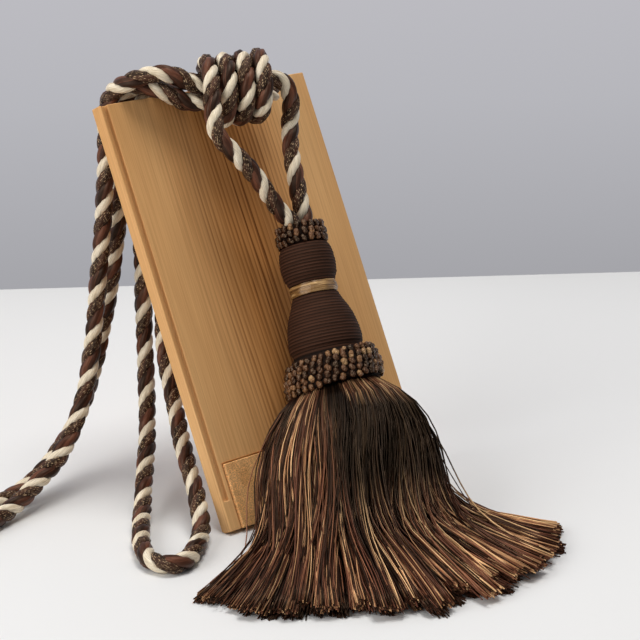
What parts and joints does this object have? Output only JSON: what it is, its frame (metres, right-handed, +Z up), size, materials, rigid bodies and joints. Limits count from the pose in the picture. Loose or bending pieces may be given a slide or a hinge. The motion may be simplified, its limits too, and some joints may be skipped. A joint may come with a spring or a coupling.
{
  "type": "curtain tieback tassel on leaning wooden board",
  "caption": "Curtain tieback tassel on a twisted rope with a wound knot and long loops, hung over the top edge of a leaning wooden board, its skirt fanned out on the table.",
  "frame": {"origin": "bottom centre of the box of the board, prop and tassel, without the rope, on the table", "axes": "+X along the board's foot, to the right seen from the front; +Y away from the front, towards the prop; +Z up"},
  "size_m": [0.2947, 0.2867, 0.2439],
  "materials": {
    "pine": "oiled",
    "pine_end_grain": "sawn",
    "wound_cord_brown": "fine wound cord",
    "satin_gold": "satin ribbon",
    "ruff_brown": "knotted cord",
    "skirt_yarn": "viscose yarn",
    "rope_yarn": "twisted viscose"
  },
  "bodies": {
    "root": {"board": "pine", "foot_block": "pine_end_grain", "back_prop": "pine", "wound_head": "wound_cord_brown", "neck_band": "satin_gold", "lower_ruff": "ruff_brown", "upper_ruff": "ruff_brown", "skirt": "skirt_yarn", "rope": "rope_yarn"}
  },
  "joints": []
}
